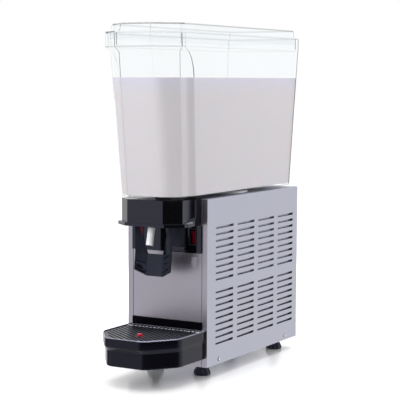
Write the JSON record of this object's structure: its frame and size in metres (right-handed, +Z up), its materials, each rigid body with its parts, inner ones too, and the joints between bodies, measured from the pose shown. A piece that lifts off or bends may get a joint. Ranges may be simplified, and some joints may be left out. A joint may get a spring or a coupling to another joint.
{
  "type": "cold drink dispenser",
  "caption": "Countertop cold drink dispenser with a clear lidded tank, push lever tap, slotted steel cabinet and a drip tray.",
  "frame": {"origin": "on the floor, in the middle of the footprint", "axes": "+X from the user's left to right, +Y from the tap to the back, +Z up"},
  "size_m": [0.1828, 0.5634, 0.686],
  "materials": {
    "steel": "satin sheet steel",
    "bright_steel": "bright turned steel",
    "black_gloss": "gloss black moulding",
    "black_plastic": "fine texture",
    "red_plastic": "gloss red moulding",
    "pale_plastic": "smooth white moulding",
    "black_rubber": "matte",
    "pale_rubber": "matte",
    "clear_plastic": "clear moulding",
    "drink": "white drink",
    "motor_paint": "black paint",
    "fins": "plain",
    "copper": "drawn copper"
  },
  "bodies": {
    "cabinet": {"base_pan": "steel", "front_panel": "steel", "right_side_panel": "steel", "left_side_panel": "steel", "rear_panel": "steel", "top_deck": "steel", "lever_bracket": "steel", "motor_bracket": "steel", "fan_shroud": "steel", "fan_bracket": "steel", "evaporator": "steel", "foot_studs": "bright_steel", "panel_screws": "bright_steel", "lever_pins": "bright_steel", "valve_spring": "bright_steel", "evaporator_nut": "bright_steel", "tray_pins": "bright_steel", "switch_panel": "black_gloss", "front_cover": "black_gloss", "label_strip": "black_gloss", "feet": "black_plastic", "switch_bodies": "black_plastic", "blank_plate": "black_plastic", "cable_gland": "black_plastic", "start_box": "black_plastic", "notice_plate": "pale_plastic", "tap_body": "pale_plastic", "spout": "pale_plastic", "thermostat": "pale_plastic", "terminal_block": "pale_plastic", "outlet_seal": "black_rubber", "compressor_mounts": "black_rubber", "tank_gasket": "pale_rubber", "mixer_motor": "motor_paint", "fan_motor": "motor_paint", "compressor": "motor_paint", "condenser": "fins", "condenser_bends": "copper", "filter_drier": "copper", "suction_line": "copper", "liquid_line": "copper", "discharge_line": "copper"},
    "tank": {"tank": "clear_plastic", "tank_outlet": "pale_plastic", "drink": "drink"},
    "lid": {"lid": "clear_plastic"},
    "tap_lever": {"tap_lever": "black_gloss"},
    "valve": {"valve_stem": "bright_steel", "valve_plug": "black_rubber"},
    "left_rocker": {"left_rocker": "red_plastic"},
    "right_rocker": {"right_rocker": "red_plastic"},
    "stirrer": {"stirrer": "pale_plastic", "drive_shaft": "bright_steel"},
    "fan": {"fan_blades": "black_plastic"},
    "thermostat_knob": {"thermostat_knob": "black_plastic"},
    "drip_tray": {"drip_tray": "black_gloss"},
    "drip_grid": {"drip_grid": "black_gloss"},
    "float_marker": {"float_marker": "red_plastic"}
  },
  "joints": [
    {"name": "tank_lift", "type": "slide", "parent": "cabinet", "child": "tank", "axis": [0, 0, 1], "range_m": [0, 0.15]},
    {"name": "lid_lift", "type": "slide", "parent": "tank", "child": "lid", "axis": [0, 0, 1], "range_m": [0, 0.08]},
    {"name": "lever_push", "type": "hinge", "parent": "cabinet", "child": "tap_lever", "pos_m": [0, -0.15925, 0.312], "axis": [1, 0, 0], "range_deg": [0, 15], "stiffness_Nm_per_rad": 0.6, "springref_deg": -8.59},
    {"name": "valve_lift", "type": "slide", "parent": "cabinet", "child": "valve", "axis": [0, 0, 1], "range_m": [0, 0.0056], "deforming": ["valve_spring"]},
    {"name": "left_switch", "type": "hinge", "parent": "cabinet", "child": "left_rocker", "pos_m": [-0.06, -0.11325, 0.279], "axis": [1, 0, 0], "range_deg": [-16, 0]},
    {"name": "right_switch", "type": "hinge", "parent": "cabinet", "child": "right_rocker", "pos_m": [0.06, -0.11325, 0.279], "axis": [1, 0, 0], "range_deg": [-16, 0]},
    {"name": "stirrer_spin", "type": "hinge", "parent": "cabinet", "child": "stirrer", "pos_m": [0, 0.06575, 0.52], "axis": [0, 0, 1], "continuous": true},
    {"name": "fan_spin", "type": "hinge", "parent": "cabinet", "child": "fan", "pos_m": [0, -0.01925, 0.1362], "axis": [0, 1, 0], "continuous": true},
    {"name": "thermostat_turn", "type": "hinge", "parent": "cabinet", "child": "thermostat_knob", "pos_m": [0.05, 0.27575, 0.302], "axis": [0, 1, 0], "range_deg": [-135, 135]},
    {"name": "tray_slide", "type": "slide", "parent": "cabinet", "child": "drip_tray", "axis": [0, -1, 0], "range_m": [0, 0.12]},
    {"name": "grid_lift", "type": "slide", "parent": "drip_tray", "child": "drip_grid", "axis": [0, 0, 1], "range_m": [0, 0.04]},
    {"name": "float_rise", "type": "slide", "parent": "drip_tray", "child": "float_marker", "axis": [0, 0, 1], "range_m": [0, 0.008]}
  ],
  "couplings": [
    {"joint": "valve_lift", "follows": "lever_push", "m_per_rad": 0.0198}
  ]
}
